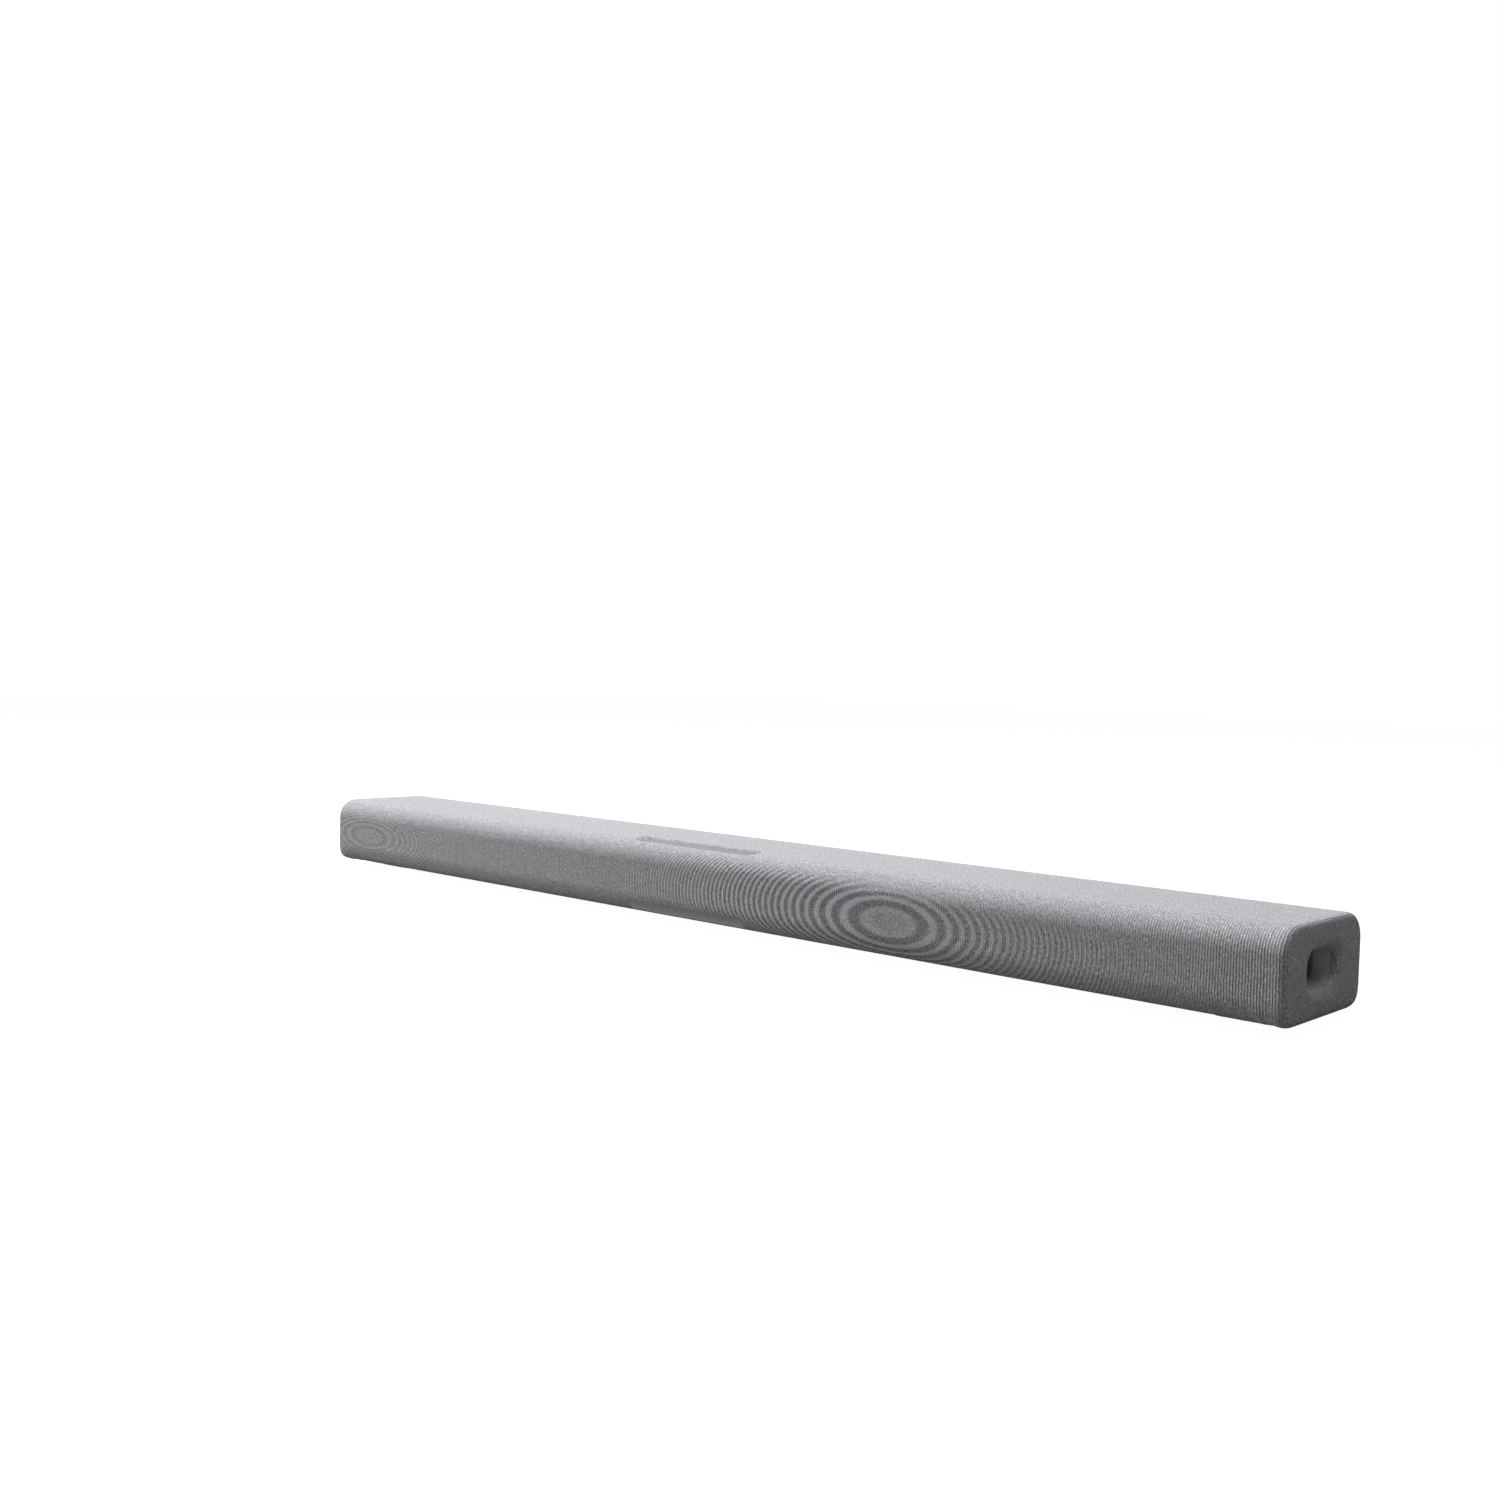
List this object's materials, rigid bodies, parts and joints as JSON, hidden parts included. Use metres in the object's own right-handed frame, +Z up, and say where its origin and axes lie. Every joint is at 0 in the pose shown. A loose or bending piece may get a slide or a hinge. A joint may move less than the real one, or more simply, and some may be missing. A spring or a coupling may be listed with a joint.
{
  "type": "soundbar",
  "caption": "Long low soundbar wrapped in grey knit, with a touch strip recessed in the top, bass ports in the ends and a connector bay behind.",
  "frame": {"origin": "on the resting surface, under the middle of the bar", "axes": "+Z up, -Y out of the front grille, +X to the listener's right along the bar"},
  "size_m": [1.018, 0.113, 0.068],
  "materials": {
    "base_plastic": "moulded black ABS, fine spark texture",
    "basket_plastic": "glass-filled nylon",
    "capacitor_sleeve": "shrunk PVC sleeve",
    "chip_resin": "moulded epoxy",
    "circuit_board": "green solder mask",
    "cone_paper": "pressed paper pulp, coated black",
    "contact_brass": "nickel-plated brass",
    "dome_silk": "coated silk",
    "foot_rubber": "moulded elastomer",
    "gasket_foam": "closed-cell foam",
    "heat_sink_aluminium": "extruded, black anodised ribs left plain",
    "housing_plastic": "moulded black ABS, fine spark texture",
    "indicator_plastic": "satin moulded polycarbonate, dark grey",
    "lamp_plastic": "clear orange polycarbonate",
    "light_pipe": "frosted clear polycarbonate",
    "magnet_ferrite": "sintered ferrite",
    "motor_steel": "zinc-plated steel",
    "plate_steel": "bright zinc plating",
    "port_plastic": "smooth moulded ABS, light grey",
    "rear_plastic": "moulded black ABS, fine spark texture",
    "screw_steel": "black zinc plating",
    "shield_can": "tin-plated steel",
    "shutter_plastic": "moulded grey nylon",
    "sleeve_knit": "mélange grey polyester knit, stretched over the cabinet",
    "socket_plastic": "moulded black nylon",
    "socket_shell": "tin-plated steel",
    "spider_cloth": "resin-dipped cotton",
    "surround_rubber": "butyl rubber",
    "touch_plastic": "satin moulded polycarbonate, warm grey",
    "transformer_core": "ferrite core with taped winding"
  },
  "bodies": {
    "cabinet": {"amplifier_chips": "chip_resin", "base_panel": "base_plastic", "base_screws": "screw_steel", "board_screws": "screw_steel", "capacitors": "capacitor_sleeve", "connector_bay": "rear_plastic", "driver_screws": "screw_steel", "fabric_wrap": "sleeve_knit", "hdmi_sockets": "socket_shell", "heat_sink": "heat_sink_aluminium", "indicator_board": "circuit_board", "indicator_lights": "light_pipe", "indicator_plate": "indicator_plastic", "inlet_pins": "contact_brass", "keyhole_plates": "plate_steel", "left_end_cap": "housing_plastic", "main_board": "circuit_board", "main_housing": "housing_plastic", "optical_socket": "socket_plastic", "port_gaskets": "gasket_foam", "port_tube_left": "port_plastic", "port_tube_right": "port_plastic", "power_board": "circuit_board", "power_inlet": "socket_plastic", "rear_panel": "rear_plastic", "rear_screws": "screw_steel", "right_end_cap": "housing_plastic", "rubber_feet": "foot_rubber", "touch_board": "circuit_board", "touch_lamps": "lamp_plastic", "touch_strip": "touch_plastic", "transformer": "transformer_core", "tweeter_frames": "basket_plastic", "tweeter_magnets": "magnet_ferrite", "tweeter_yokes": "motor_steel", "usb_socket": "socket_shell", "wireless_module": "shield_can", "woofer_frames": "basket_plastic", "woofer_magnets": "magnet_ferrite", "woofer_spiders": "spider_cloth", "woofer_surrounds": "surround_rubber", "woofer_top_plates": "motor_steel", "woofer_yokes": "motor_steel"},
    "shutter": {"optical_shutter": "shutter_plastic"},
    "tweeter_dome_left": {"tweeter_dome_left": "dome_silk"},
    "tweeter_dome_right": {"tweeter_dome_right": "dome_silk"},
    "woofer_cone_left_inner": {"woofer_cone_left_inner": "cone_paper"},
    "woofer_cone_left_outer": {"woofer_cone_left_outer": "cone_paper"},
    "woofer_cone_right_inner": {"woofer_cone_right_inner": "cone_paper"},
    "woofer_cone_right_outer": {"woofer_cone_right_outer": "cone_paper"}
  },
  "joints": [
    {"name": "tweeter_left_stroke", "type": "slide", "parent": "cabinet", "child": "tweeter_dome_left", "axis": [0, -1, 0], "range_m": [-0.0002, 0.0002], "stiffness_N_per_m": 1500},
    {"name": "tweeter_right_stroke", "type": "slide", "parent": "cabinet", "child": "tweeter_dome_right", "axis": [0, -1, 0], "range_m": [-0.0002, 0.0002], "stiffness_N_per_m": 1500},
    {"name": "woofer_left_inner_stroke", "type": "slide", "parent": "cabinet", "child": "woofer_cone_left_inner", "axis": [0, -1, 0], "range_m": [-0.002, 0.002], "stiffness_N_per_m": 900},
    {"name": "woofer_left_outer_stroke", "type": "slide", "parent": "cabinet", "child": "woofer_cone_left_outer", "axis": [0, -1, 0], "range_m": [-0.002, 0.002], "stiffness_N_per_m": 900},
    {"name": "woofer_right_inner_stroke", "type": "slide", "parent": "cabinet", "child": "woofer_cone_right_inner", "axis": [0, -1, 0], "range_m": [-0.002, 0.002], "stiffness_N_per_m": 900},
    {"name": "woofer_right_outer_stroke", "type": "slide", "parent": "cabinet", "child": "woofer_cone_right_outer", "axis": [0, -1, 0], "range_m": [-0.002, 0.002], "stiffness_N_per_m": 900},
    {"name": "shutter_hinge", "type": "hinge", "parent": "cabinet", "child": "shutter", "pos_m": [0.068, 0.0289, 0.04065], "axis": [-1, 0, 0], "range_deg": [0, 80], "stiffness_Nm_per_rad": 0.0002}
  ]
}
